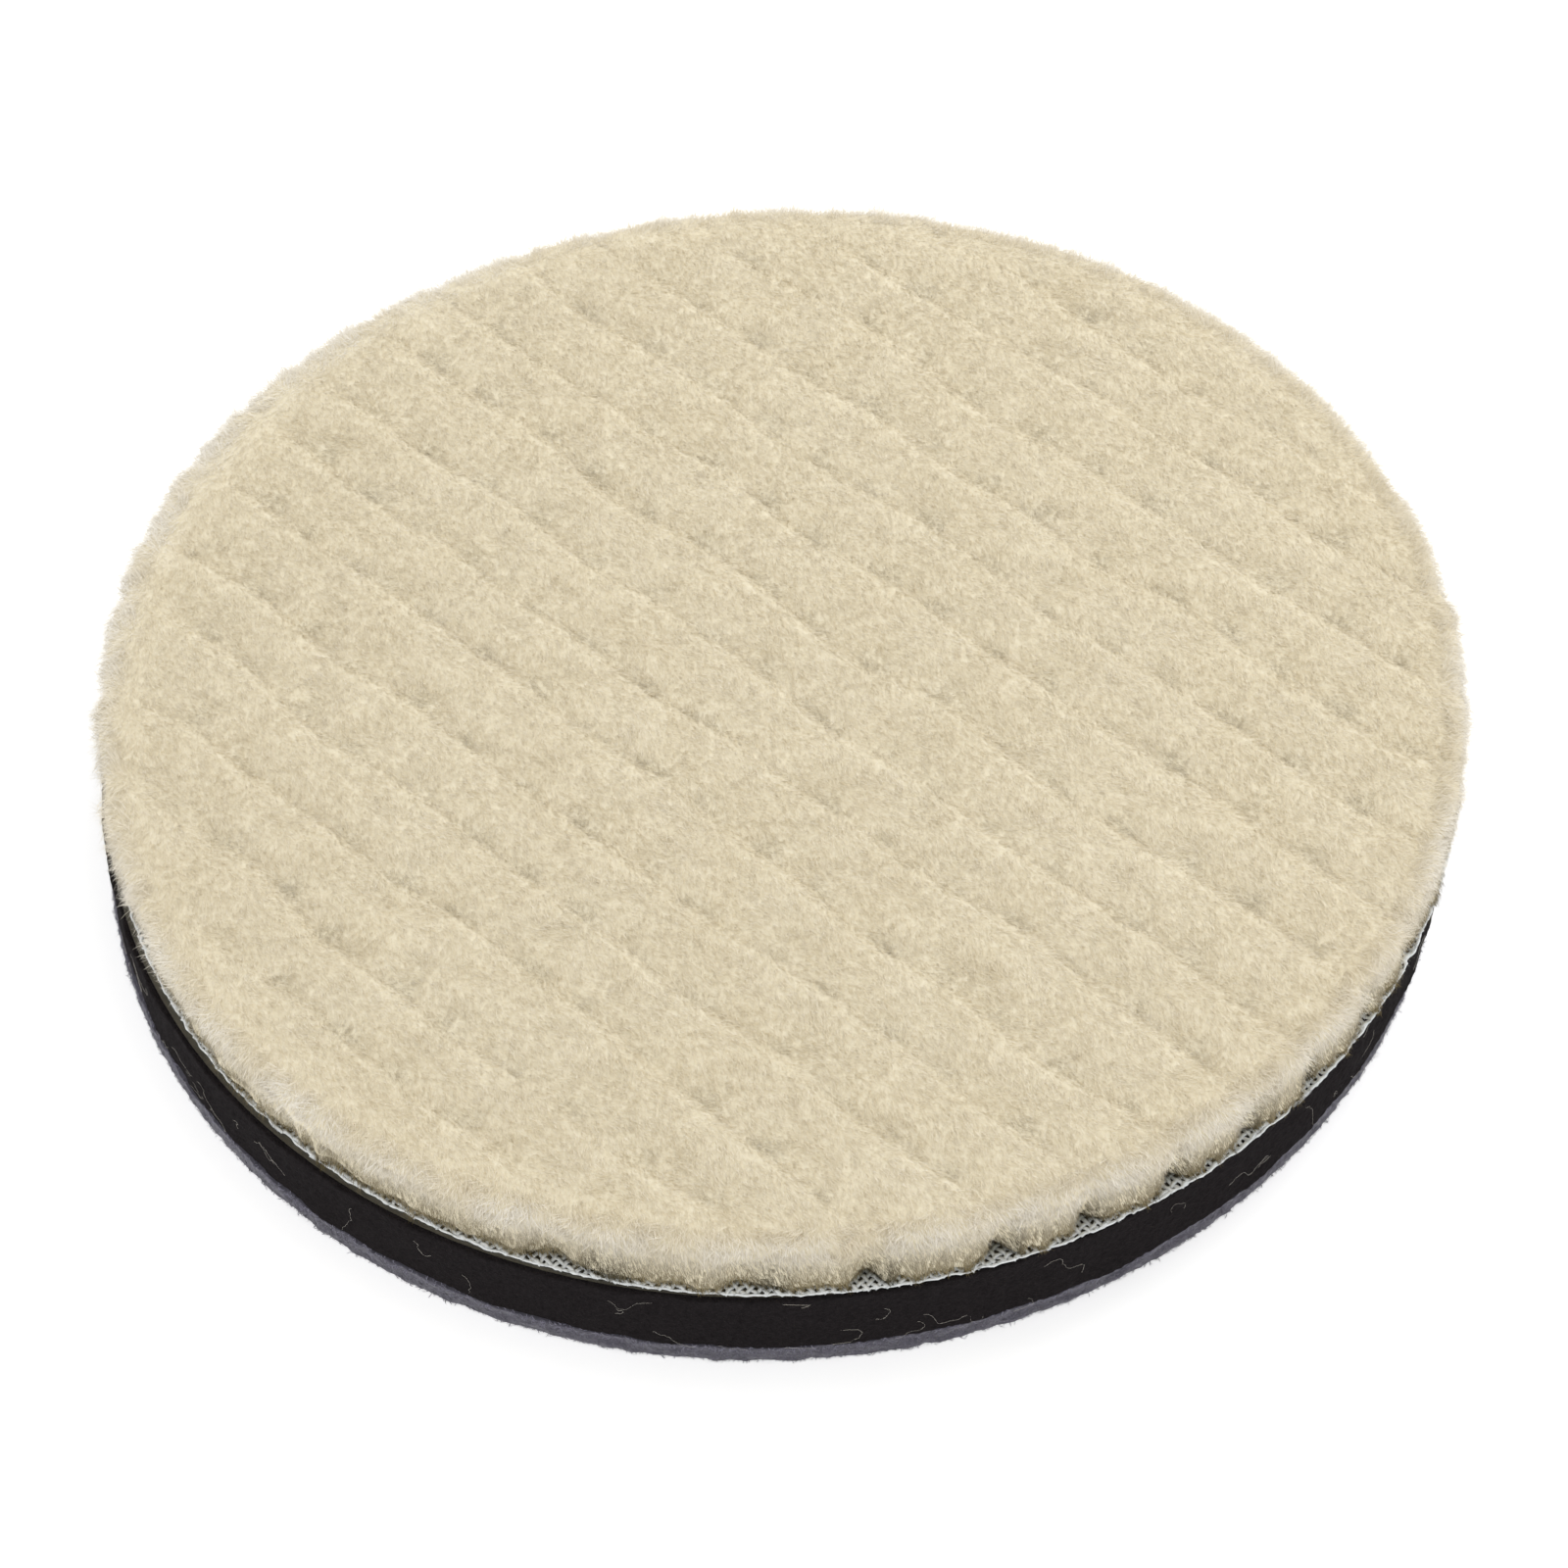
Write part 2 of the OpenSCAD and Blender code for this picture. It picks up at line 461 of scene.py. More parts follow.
def wool_body(name, x, y):
    """A closed body: the two surfaces, with a wall between them along each side of the row."""
    above, below = wool_surfaces(x, y)
    rows, columns = x.shape
    points = np.concatenate([above.reshape(-1, 3), below.reshape(-1, 3)])
    top_faces = grid_quads(rows, columns)
    bottom_faces = grid_quads(rows, columns, rows * columns)[:, ::-1]
    walls = []
    for i in (0, rows - 1):
        upper = i * columns + np.arange(columns)
        lower = upper + rows * columns
        walls.append(np.stack([upper[:-1], upper[1:], lower[1:], lower[:-1]], -1))
    quads = np.concatenate([top_faces, bottom_faces, *walls])
    body = close_seams(make_piece(name, points + FACE_SHIFT, quads))
    body.data.set_sharp_from_angle(angle=np.radians(60))
    return body


# %% [markdown]
# ## Wool fibres
# A fibre leaves the body steeply and bends over towards its tip, as sheared wool does. Each
# one is a long narrow kite: pointed at its buried root, widest at its bend and pointed again at
# the tip, with its flat side facing away from the pad. That is two triangles a fibre, so half a
# million of them stay light enough to render and to export. Neighbours share their turn through
# a smooth random field, which is what draws wool into little locks.

# %% Fibre builder
def fibre_mesh(root, normal, lean, length, width, start, end, sway, twist, levels):
    """Points, quads and triangles of many ribbons at once. At share t of its length a fibre
    leans from the normal by start + (end - start) t radians towards lean, and sways sideways
    by sway t squared. The ribbon lies across that lean, turned about the fibre by twist. It
    has one point at its root and its tip, and two at each of the levels between them."""
    count = len(root)
    side = unit(np.cross(lean, normal))
    place = root.copy()
    points = [root]
    for below, t in zip(levels[:-1], levels[1:]):
        angle = (start + (end - start) * (below + t) / 2)[:, None]
        way = normal * np.cos(angle) + lean * np.sin(angle)
        place = place + way * (length * (t - below))[:, None]
        centre = place + side * (sway * length * t * t)[:, None]
        if t == levels[-1]:
            points.append(centre)
            break
        angle = (start + (end - start) * t)[:, None]
        face = normal * np.sin(angle) - lean * np.cos(angle)
        across = side * np.cos(twist)[:, None] + face * np.sin(twist)[:, None]
        half = across * (width / 2)[:, None]
        points += [centre - half, centre + half]
    points = np.stack(points, 1)
    last = points.shape[1] - 1
    first = (np.arange(count) * (last + 1))[:, None]
    ends = np.stack([first + [0, 2, 1], first + [last - 2, last - 1, last]], 1)
    bands = [first + [i, i + 1, i + 3, i + 2] for i in range(1, last - 2, 2)]
    quads = np.concatenate(bands) if bands else np.zeros((0, 4), int)
    return points.reshape(-1, 3), quads, ends.reshape(-1, 3)


def per_point(values, levels):
    """One value a fibre, repeated for each of its points."""
    return np.repeat(values, 2 * len(levels) - 2)


def along_fibre(count, levels):
    """0 at each fibre's root and 1 at its tip, for each of its points."""
    return np.tile(np.concatenate([levels[:1], np.repeat(levels[1:-1], 2), levels[-1:]]), count)


# %% Where the roots sit
def scatter(surface, keep, density, chance):
    """Random points spread evenly over a grid surface, as (position, normal) arrays. A cell is
    picked by its area times keep, and the point inside it by two even numbers."""
    corner = surface[:-1, :-1]
    across = surface[1:, :-1] - corner
    along = surface[:-1, 1:] - corner
    cross = np.cross(across, along)
    area = np.linalg.norm(cross, axis=-1)
    weight = (area * keep[:-1, :-1]).ravel()
    count = int(density * weight.sum() / MM ** 2)
    cell = chance.choice(weight.size, count, p=weight / weight.sum())
    i, j = np.unravel_index(cell, area.shape)
    a, b = chance.uniform(0, 1, (2, count, 1))
    near = surface[i, j] * (1 - b) + surface[i, j + 1] * b
    far = surface[i + 1, j] * (1 - b) + surface[i + 1, j + 1] * b
    return near * (1 - a) + far * a, unit(cross[i, j])


# Fibres to a square millimetre, and how deep each is rooted
FIBRE_DENSITY = 27
ROOT_DEPTH = 0.3 * MM
FIBRE_WIDTH = 0.055 * MM
SHORT = np.array([0.0, 0.55, 1.0])
LONG = np.array([0.0, 0.35, 0.7, 1.0])
# The pile is combed a little to one side of its rows
COMB_TURN = np.arctan2(ALONG[1], ALONG[0]) - 0.22
# How wide a band round the wool's edge splays outwards, how wide a band is whitened, partly
# for the fibres' paler ends and partly as painted light, and how far into it the whitening
# comes up to its full share
SPLAY_BAND = 6 * MM
PALE_AND_LIT_BAND = 3.4 * MM
PALE_AND_LIT_FADE = 3 * MM
# The flank's colour, partly grease and partly painted shade, starts this far below the body's top
FLANK_START = 0.3 * MM


def wool_values(root, count, levels, chance):
    """The attributes that the wool's material reads: each fibre's own tint, the share of its
    length, how far the rim whitens it, partly for its thinner ends and partly as painted light,
    how far down the flank it stands and how deep in a channel it is rooted, from which the
    material paints shade."""
    x, y, z = root.T
    rho = np.hypot(x, y)
    rim = smooth_step((rho - (body_r - SPLAY_BAND)) / SPLAY_BAND)
    # Whitening at the rim, partly the fibres' own paler ends and partly painted light.
    pale_and_lit = smooth_step((rho - (body_r - PALE_AND_LIT_BAND)) / PALE_AND_LIT_FADE)
    patchy_pale_and_lit = np.clip(pale_and_lit * (0.9 + 0.25 * ripples(x, y, 14 * MM, 22)), 0, 1)
    # How far down the flank a root stands; from it the material paints the flanks darker, partly
    # grease and partly painted shade.
    flank_top = body_top - FLANK_START
    flank = np.clip((flank_top - z) / (flank_top - cloth_top), 0, 1) ** 0.55
    # Depth in a channel and, on the flank, nearness to a gap between tufts: from these the material
    # paints shade in the channels and shadow in the gaps.
    gap, _ = channel_nearness(x, y)
    deep = np.clip(relief(x, y) / (ROW_DEPTH + TUFT_DEPTH), 0, 1)
    return rim, flank, {
        "tint": per_point(chance.uniform(0, 1, count), levels),
        "tip": along_fibre(count, levels),
        "rim": per_point(patchy_pale_and_lit * (1 - flank) ** 2, levels),
        "flank": per_point(flank, levels),
        "deep": per_point(deep * (1 - flank) + gap * flank, levels),
    }


def nap_of(surfaces, seed):
    """The loose fibres of one row, as arrays for make_piece."""
    chance = np.random.default_rng(seed)
    above, below = surfaces
    on_flank = (below[..., 2] > cloth_top + 0.1 * MM).astype(float)
    top_root, top_normal = scatter(above, np.ones(above.shape[:2]), FIBRE_DENSITY, chance)
    low_root, low_normal = scatter(below, on_flank, FIBRE_DENSITY, chance)
    root = np.concatenate([top_root, low_root])
    normal = np.concatenate([top_normal, -low_normal])
    count = len(root)
    rim, flank, values = wool_values(root, count, SHORT, chance)

    # Combed along the rows, with a shared smooth turn and one of its own, then pulled down the
    # slope of the body, and outwards and down at the rim
    turn = COMB_TURN + 0.16 * ripples(*root[:, :2].T, 8 * MM, 21) + chance.normal(0, 0.3, count)
    lean = np.stack([np.cos(turn), np.sin(turn), np.zeros(count)], 1)
    lean = lean + normal * [1, 1, 0] + unit(root * [1, 1, 0]) * rim[:, None]
    lean[:, 2] -= 1.5 * flank + 0.5 * rim
    lean = unit(lean - normal * (lean * normal).sum(1, keepdims=True))

    made = fibre_mesh(
        root - normal * ROOT_DEPTH, normal, lean,
        chance.uniform(0.9, 1.8, count) * MM, FIBRE_WIDTH * chance.uniform(0.7, 1.3, count),
        chance.uniform(0.5, 1.1, count), chance.uniform(1.1, 1.7, count),
        chance.normal(0, 0.06, count), chance.normal(0, 0.25, count), SHORT)
    return *made, values


FRINGE_DENSITY = 17
FRINGE_BAND = 3.0 * MM
FRINGE_WALL = 0.4 * MM
FRINGE_WIDTH = 0.042 * MM


def fringe_of(seed):
    """The longer fibres round the rim that the shears missed, as arrays for make_piece. They
    lean outwards and sideways, and droop over the wool's edge in wisps."""
    chance = np.random.default_rng(seed)
    angle = np.linspace(0, 2 * np.pi, 1501)
    out = body_r - FRINGE_BAND * (1 - np.sin(np.linspace(0, np.pi / 2, 25))) ** 1.5
    x, y = out[:, None] * np.cos(angle), out[:, None] * np.sin(angle)
    above, below = wool_surfaces(x, y)
    near_rim = (below[..., 2] > mid_z - FRINGE_WALL).astype(float)
    top_root, top_normal = scatter(above, np.ones(x.shape), FRINGE_DENSITY, chance)
    low_root, low_normal = scatter(below, near_rim, FRINGE_DENSITY, chance)
    root = np.concatenate([top_root, low_root])
    normal = np.concatenate([top_normal, -low_normal])
    count = len(root)
    _, _, values = wool_values(root, count, LONG, chance)
    outward = unit(root * [1, 1, 0])
    tangent = np.stack([-outward[:, 1], outward[:, 0], np.zeros(count)], 1)
    aside = 0.7 * ripples(*root[:, :2].T, 5 * MM, 24) + chance.normal(0, 0.6, count)
    lean = outward + tangent * aside[:, None] - [0, 0, 0.2]
    lean = unit(lean - normal * (lean * normal).sum(1, keepdims=True))
    made = fibre_mesh(
        root - normal * ROOT_DEPTH, normal, lean,
        chance.uniform(1.0, 2.8, count) * MM, FRINGE_WIDTH * chance.uniform(0.6, 1.2, count),
        chance.uniform(0.5, 1.1, count), chance.uniform(1.0, 1.8, count),
        chance.normal(0, 0.15, count), chance.normal(0, 0.3, count), LONG)
    return *made, values


# %% [markdown]
# ## Wool, as a material
# Undyed wool is a cream protein fibre with a soft, scattering surface. A single fibre is a
# touch lighter or yellower than its neighbour, and painted shade darkens each one towards its
# root. The rim is painted almost white, partly for its paler, thinner fibre ends and partly
# as painted light. The flanks of the outer tufts keep the honey colour of the grease in raw
# wool, darkened further as painted shade, with painted shadow in the gaps between them, and
# the channels are painted darker straw as shade. Broad patches drift between straw and
# ivory. Roughness is near 1, and a little sheen stands for the scales that scatter light at
# a grazing angle.

# %% Wool materials
WOOL_IOR = 1.55


def wool_fibre():
    """Mixes, in turn: yellowish and ivory creams by patch and by fibre, a darker yellow cream as
    painted shade in the channels, a greasy yellow-brown on the flanks that is partly raw wool
    and partly painted shade, painted shadow between the tufts there, near white at the rim,
    partly thinner fibre ends and partly painted light, and painted shade towards each root."""
    material, tree = new_material("wool_fibre")
    tint = attribute(tree, "tint")
    flank = attribute(tree, "flank")
    deep = attribute(tree, "deep")
    patch = add_node(tree, "ShaderNodeMapRange", {
        "Value": noise(tree, 9 * MM, 2.0), "From Min": 0.35, "From Max": 0.65})
    broad = mixed(tree, patch.outputs["Result"], colour("e2d6bb"), colour("e8dfcb"))
    own = mixed(tree, tint, colour("cdbf9c"), colour("f5f0e4"))
    cream = mixed(tree, 0.5, broad, own)
    # Painted shade: the cream darkens towards a deeper straw where the fibres root in a channel.
    straw_with_channel_shade = mixed(tree, product(tree, deep, 0.2), cream, colour("b3a272"))
    # The flanks' colour: partly the honey-brown grease of raw wool, partly painted shade on the
    # front walls and under the overhanging lip.
    grease_and_flank_shade = mixed(tree, tint, colour("574c2e"), colour("8c7d55"))
    honey_with_flank_shade = mixed(tree, flank, straw_with_channel_shade, grease_and_flank_shade)
    # Painted shadow in the gaps between the outer tufts, on their flanks.
    shadowed = mixed(tree, product(tree, deep, flank), honey_with_flank_shade, colour("3b3626"))
    # Towards white at the rim: partly the paler, thinner fibre ends, partly painted light for light
    # that shines through them from behind.
    pale_and_lit_share = product(tree, attribute(tree, "rim"), 0.6)
    paled_and_lit = mixed(tree, pale_and_lit_share, shadowed, colour("f4f2ee"))
    # Painted shade: each fibre is darker towards its root, down in the pile.
    root_shade = add_node(tree, "ShaderNodeMapRange", {
        "Value": attribute(tree, "tip"), "From Max": 0.6, "To Min": 0.9})
    shaded = add_node(tree, "ShaderNodeVectorMath", {
        0: paled_and_lit, "Scale": root_shade.outputs["Result"]}, operation="SCALE")
    finish_material(
        tree, Base_Color=shaded.outputs[0], Roughness=0.95, IOR=WOOL_IOR,
        Specular_IOR_Level=0.15, Sheen_Weight=0.1, Sheen_Roughness=0.5)
    return material


def wool_underfur():
    """The dense wool below the tips: the same cream a little deeper, broken up by a fine
    noise at the spacing of locks, 0.6 mm."""
    material, tree = new_material("wool_underfur")
    locks = noise(tree, 0.6 * MM)
    finish_material(
        tree, Base_Color=mixed(tree, locks, colour("d7ccae"), colour("e9e1cc")),
        Normal=bumped(tree, locks, 0.6, 0.3 * MM), Roughness=0.95, IOR=WOOL_IOR,
        Specular_IOR_Level=0.1)
    return material


# %% Make the rows
CELLS_ACROSS = 18
CELLS_ALONG = 140
fibre_material = wool_fibre()
underfur_material = wool_underfur()
fibre_total = 0
for number, name in enumerate(row_nodes, 1):
    plan = row_grid(*row_sides(name), CELLS_ACROSS, CELLS_ALONG)
    body = wool_body(f"wool_row_{number:02d}", *plan)
    body.data.materials.append(underfur_material)
    points, quads, tips, values = nap_of(wool_surfaces(*plan), 100 + number)
    points = points + FACE_SHIFT
    nap = make_piece(f"wool_nap_{number:02d}", points, quads, tips, values)
    nap.data.materials.append(fibre_material)
    for piece in (body, nap):
        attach(piece, "root")
    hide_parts(name)
    fibre_total += len(tips) // 2
    print(f"{name}: body {triangles_in(body)} and nap {triangles_in(nap)} triangles")
points, quads, tips, values = fringe_of(99)
fringe = make_piece("wool_fringe", points + FACE_SHIFT, quads, tips, values)
fringe.data.materials.append(fibre_material)
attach(fringe, "root")
print("wool fibres:", fibre_total, "and", len(tips) // 2, "in the fringe")
print("fringe:", triangles_in(fringe), "triangles")

# %% [markdown]
# ## The foam
# Open-cell polyurethane foam, dyed black and cut on a die. The cut leaves a straight wall whose
# burst cells look like short velvet. One profile, turned round the axis, makes the disc: up
# the wall and in over the top and the underside. The wall's points move in and out by about a
# tenth of a millimetre, so its edges aren't machined-sharp.

# %% Foam
def lathe(profile, turns, wobble):
    """Points of a profile (n x 2: radius, height) carried round the axis, as an n x turns x 3
    grid, with wobble(radius, height, angle) added to each radius."""
    angle = np.linspace(0, 2 * np.pi, turns, endpoint=False)
    r = profile[:, :1] + 0 * angle
    z = profile[:, 1:] + 0 * angle
    r = r + wobble(r, z, angle[None, :] + 0 * r)
    return np.stack([r * np.cos(angle), r * np.sin(angle), z], -1)


def lathe_quads(rings, turns):
    """Quads of a lathe grid that closes on itself, facing outwards for a rising profile."""
    at = np.arange(rings * turns).reshape(rings, turns)
    ahead = np.roll(at, -1, axis=1)
    return np.stack([at[:-1], ahead[:-1], ahead[1:], at[1:]], -1).reshape(-1, 4)


def disc_profile(radius, low, high, edge, wall_cells, flat_cells):
    """From the middle of the underside out, round a small edge radius, up the wall, and back
    to the middle of the top."""
    out = np.linspace(0, radius - edge, flat_cells + 1)
    bend = np.linspace(0, np.pi / 2, 4)[1:]
    low_bend = np.stack([radius - edge + edge * np.sin(bend), low + edge - edge * np.cos(bend)], 1)
    high_bend = np.stack([low_bend[::-1, 0], high + low - low_bend[::-1, 1]], 1)
    wall = np.linspace(low + edge, high - edge, wall_cells + 1)[1:-1]
    return np.concatenate([
        np.stack([out, np.full(len(out), low)], 1), low_bend,
        np.stack([np.full(len(wall), radius), wall], 1), high_bend,
        np.stack([out[::-1], np.full(len(out), high)], 1)])


def foam_wobble(r, z, angle):
    """Fine ripples on the wall only: 0.05 mm at a length of 1 mm, 0.08 mm at 9 mm."""
    on_wall = smooth_step((r - (foam_r - 1.0 * MM)) / (0.9 * MM))
    around = angle * foam_r
    fine = 0.05 * MM * ripples(around, z, 1.0 * MM, 31)
    slow = 0.08 * MM * ripples(around, z, 9 * MM, 32)
    return (fine + slow) * on_wall


FOAM_TURNS = 900
FOAM_EDGE = 0.25 * MM
foam_profile = disc_profile(foam_r, foam_low, foam_top, FOAM_EDGE, 18, 8)
foam_grid = lathe(foam_profile, FOAM_TURNS, foam_wobble)
foam_quads = lathe_quads(len(foam_profile), FOAM_TURNS)
foam = make_piece("foam_layer", foam_grid.reshape(-1, 3), foam_quads)
close_seams(foam)


def cut_foam():
    """Black polyurethane foam. Its burst cells, 0.3 mm across, show as fine pits, and a grey
    bloom of cut cell walls lies on the black."""
    material, tree = new_material("polyurethane_foam")
    place = add_node(tree, "ShaderNodeTexCoord")
    cells = add_node(tree, "ShaderNodeTexVoronoi", {
        "Vector": place.outputs["Object"], "Scale": 1 / (0.3 * MM)}, feature="F1")
    bloom = noise(tree, 0.5 * MM, 4.0, 0.7)
    height = add_node(tree, "ShaderNodeMath", {
        0: cells.outputs["Distance"], 1: bloom}, operation="ADD")
    finish_material(
        tree, Base_Color=mixed(tree, bloom, colour("080708"), colour("2b2728")),
        Normal=bumped(tree, height.outputs[0], 0.8, 0.2 * MM), Roughness=1.0,
        Specular_IOR_Level=0.05)
    return material


foam.data.materials.append(cut_foam())
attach(foam, "root")
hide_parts("foam_core")
print("foam:", triangles_in(foam), "triangles")

# %% [markdown]
# ## The ground cloth
# Plain weave: each thread goes over one, under the next. Only the outermost few millimetres
# show, between the tufts and past them, so real threads are made there, with a plain sheet of
# cloth inside them under the pile. A thread's centre line is a cosine of one crossing to half a
# wave, its neighbours start half a wave later, and the other set runs opposite, which is all
# that plain weave is. The cut ends stick out unevenly.

# %% Ground cloth
THREAD_PITCH = 0.78 * MM
THREAD_WIDTH = 0.46 * MM
THREAD_THICK = 0.20 * MM
WEAVE_FROM = cloth_r - 5.8 * MM
SIDES = 5
weave_z = (cloth_low + cloth_top) / 2
weave_swing = (cloth_top - cloth_low - THREAD_THICK) / 2


def threads(direction, across, opposite, seed):
    """All threads of one set, as points and quads. Thread i lies at i pitches across, point j
    at j half pitches along, and its height is the cosine of half a wave a crossing, with its
    sign turned on every other thread. Points inside the ring are kept, and a point past the
    cloth's edge is brought back to it, give or take a fray."""
    chance = np.random.default_rng(seed)
    count = int(cloth_r / THREAD_PITCH)
    i = np.arange(-count, count + 1)
    j = np.arange(-2 * count - 1, 2 * count + 2)
    offset = (i * THREAD_PITCH)[:, None] + 0.05 * MM * chance.normal(size=(len(i), len(j)))
    drift = 0.12 * MM * ripples(offset, j * THREAD_PITCH / 2 + 0 * offset, 12 * MM, seed + 1)
    offset = offset + drift
    run = (j * THREAD_PITCH / 2)[None, :] + 0 * offset
    fray = chance.uniform(-0.3, 0.05, (len(i), 2)) * MM
    end = np.sqrt(np.maximum((cloth_r + 0 * offset) ** 2 - offset ** 2, 0))
    high_end = end + fray[:, :1]
    low_end = -end - fray[:, 1:]
    inside = (run < high_end) & (run > low_end)
    reach_next = np.roll(inside, 1, 1) | np.roll(inside, -1, 1)
    ring = np.hypot(run, offset) > WEAVE_FROM
    used = (inside | reach_next) & ring
    run = np.clip(run, low_end, high_end)
    phase = np.where((i[:, None] + (0 if opposite else 1)) % 2, np.pi, 0)
    height = weave_swing * np.cos(run / THREAD_PITCH * np.pi + phase)
    centre = direction * run[..., None] + across * offset[..., None]
    round_it = np.linspace(0, 2 * np.pi, SIDES, endpoint=False)
    sideways = THREAD_WIDTH / 2 * np.cos(round_it)
    upwards = THREAD_THICK / 2 * np.sin(round_it)
    plan = centre[:, :, None, :] + across * sideways[:, None]
    z = weave_z + height[:, :, None] + upwards
    points = np.concatenate([plan, z[..., None]], -1)
    at = np.arange(points.shape[0] * points.shape[1] * SIDES).reshape(len(i), len(j), SIDES)
    turn_on = np.roll(at, -1, axis=2)
    quads = np.stack([at[:, :-1], turn_on[:, :-1], turn_on[:, 1:], at[:, 1:]], -1)
    kept = quads[used[:, :-1] & used[:, 1:]].reshape(-1, 4)
    numbers, kept = np.unique(kept, return_inverse=True)
    return points.reshape(-1, 3)[numbers], kept.reshape(-1, 4)


def edge_bead(seed):
    """The glued rim of the cut: a thin ring in which the thread ends mat together. Its
    radius and thickness wander a little round the pad."""
    turns, sides = 1200, 6
    angle = np.linspace(0, 2 * np.pi, turns, endpoint=False)
    around = angle * cloth_r
    reach = cloth_r - 0.12 * MM + 0.07 * MM * ripples(around, 0 * around, 2.5 * MM, seed)
    thick = (0.16 + 0.03 * ripples(around, 0 * around, 0.9 * MM, seed + 1)) * MM
    corner = np.linspace(0, 2 * np.pi, sides, endpoint=False)[:, None]
    r = reach + thick * np.cos(corner)
    z = cloth_low + 0.17 * MM + thick * np.sin(corner)
    points = np.stack([r * np.cos(angle), r * np.sin(angle), z], -1)
    at = np.arange(sides * turns).reshape(sides, turns)
    ahead, up_one = np.roll(at, -1, 1), np.roll(at, -1, 0)
    quads = np.stack([at, ahead, np.roll(ahead, -1, 0), up_one], -1)
    return points.reshape(-1, 3), quads.reshape(-1, 4)


warp_points, warp_quads = threads(ALONG, ACROSS, False, 41)
weft_points, weft_quads = threads(ACROSS, ALONG, True, 44)
INNER_TURNS = 180
INNER_INSET = 0.1 * MM
inner_profile = disc_profile(
    WEAVE_FROM + 0.5 * MM, cloth_low + INNER_INSET, cloth_top - INNER_INSET, INNER_INSET, 1, 4)
inner_grid = lathe(inner_profile, INNER_TURNS, lambda r, z, angle: 0 * r)
inner_quads = lathe_quads(len(inner_profile), INNER_TURNS)
sets = [
    (warp_points, warp_quads), (weft_points, weft_quads),
    (inner_grid.reshape(-1, 3), inner_quads), edge_bead(45)]
starts = np.cumsum([0] + [len(p) for p, _ in sets[:-1]])
cloth_points = np.concatenate([p for p, _ in sets])
# under_wool rises from 0.6 mm in from the cloth's edge; the thread material paints shade with it.
from_edge = cloth_r - np.hypot(cloth_points[:, 0], cloth_points[:, 1])
cloth = make_piece(
    "ground_cloth_weave",
    cloth_points + FACE_SHIFT,
    np.concatenate([q + s for (_, q), s in zip(sets, starts)]),
    attributes={"under_wool": smooth_step((from_edge - 0.6 * MM) / (1.6 * MM))})
close_seams(cloth)


def spun_thread():
    """White spun thread, matte, a little blue beside the cream wool. Fibres twisted round it
    show as a fine light and dark grain 0.25 mm long. Towards the inside, under the wool, the
    thread turns grey: painted shade under the overhanging tufts."""
    material, tree = new_material("spun_thread")
    white = mixed(tree, noise(tree, 0.25 * MM), colour("c6ccce"), colour("f4f5f4"))
    # Painted shade: the thread turns grey where it runs in under the overhanging wool.
    shaded_under_wool = mixed(tree, attribute(tree, "under_wool"), white, colour("979993"))
    finish_material(
        tree, Base_Color=shaded_under_wool, Roughness=0.85, Specular_IOR_Level=0.3, Sheen_Weight=0.2)
    return material


cloth.data.materials.append(spun_thread())
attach(cloth, "root")
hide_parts("ground_cloth")
print("ground cloth:", triangles_in(cloth), "triangles")

# %% [markdown]
# ## The loop fabric
# A knitted ground whose loops have been brushed up, so that hooks can catch them. The ground is
# a disc with soft edges, and over its underside and wall lies a nap of curled filaments: the
# same ribbons as the wool's, but shorter and bent right over.

# %% Loop fabric
loop_ground_r = loop_r + 0.2 * MM
# The loop fabric too was glued on a little off the foam's centre
LOOP_SHIFT = np.array([-0.4, 0, 0]) * MM
loop_ground_low = loop_low + 0.05 * MM


def loop_wobble(r, z, angle):
    """The brushed wall is lumpy: 0.08 mm ripples 2.5 mm long."""
    on_wall = smooth_step((r - (loop_ground_r - 1.0 * MM)) / (0.9 * MM))
    return 0.08 * MM * ripples(angle * loop_r, z, 2.5 * MM, 51) * on_wall


LOOP_TURNS = 600
LOOP_EDGE = 0.12 * MM
# Filaments to a square millimetre: thick on the wall, where they show, and sparse below
WALL_NAP = 20
UNDER_NAP = 1.2
LOOP_ROOT = 0.1 * MM
loop_profile = disc_profile(loop_ground_r, loop_ground_low, loop_top, LOOP_EDGE, 7, 32)
loop_grid = lathe(loop_profile, LOOP_TURNS, loop_wobble)
underside = loop_profile[:, 1] < loop_ground_low + 0.01 * MM
# Clipped, so that no lump reaches below the plane that the pad lies on
lumps = np.clip(ripples(loop_grid[..., 0], loop_grid[..., 1], 2.2 * MM, 52), -1, 2)
loop_grid[..., 2] += 0.04 * MM * lumps * underside[:, None]
loop_cloth = make_piece(
    "loop_cloth", loop_grid.reshape(-1, 3) + LOOP_SHIFT, lathe_quads(len(loop_profile), LOOP_TURNS))
close_seams(loop_cloth)

chance = np.random.default_rng(53)
closed_grid = np.concatenate([loop_grid, loop_grid[:, :1]], 1)
wall_part = closed_grid[loop_profile[:, 0] > loop_ground_r - 0.6 * MM]
under_part = closed_grid[underside]
wall_root, wall_normal = scatter(wall_part, np.ones(wall_part.shape[:2]), WALL_NAP, chance)
under_root, under_normal = scatter(under_part, np.ones(under_part.shape[:2]), UNDER_NAP, chance)
loop_root = np.concatenate([wall_root, under_root])
loop_normal = np.concatenate([-wall_normal, -under_normal])
loop_normal = loop_normal * np.sign((loop_normal * np.concatenate(
    [wall_root * [1, 1, 0], np.tile([0, 0, -1.0], (len(under_root), 1))])).sum(1, keepdims=True))
count = len(loop_root)
random_way = unit(chance.normal(size=(count, 3)))
loop_lean = unit(random_way - loop_normal * (random_way * loop_normal).sum(1, keepdims=True))
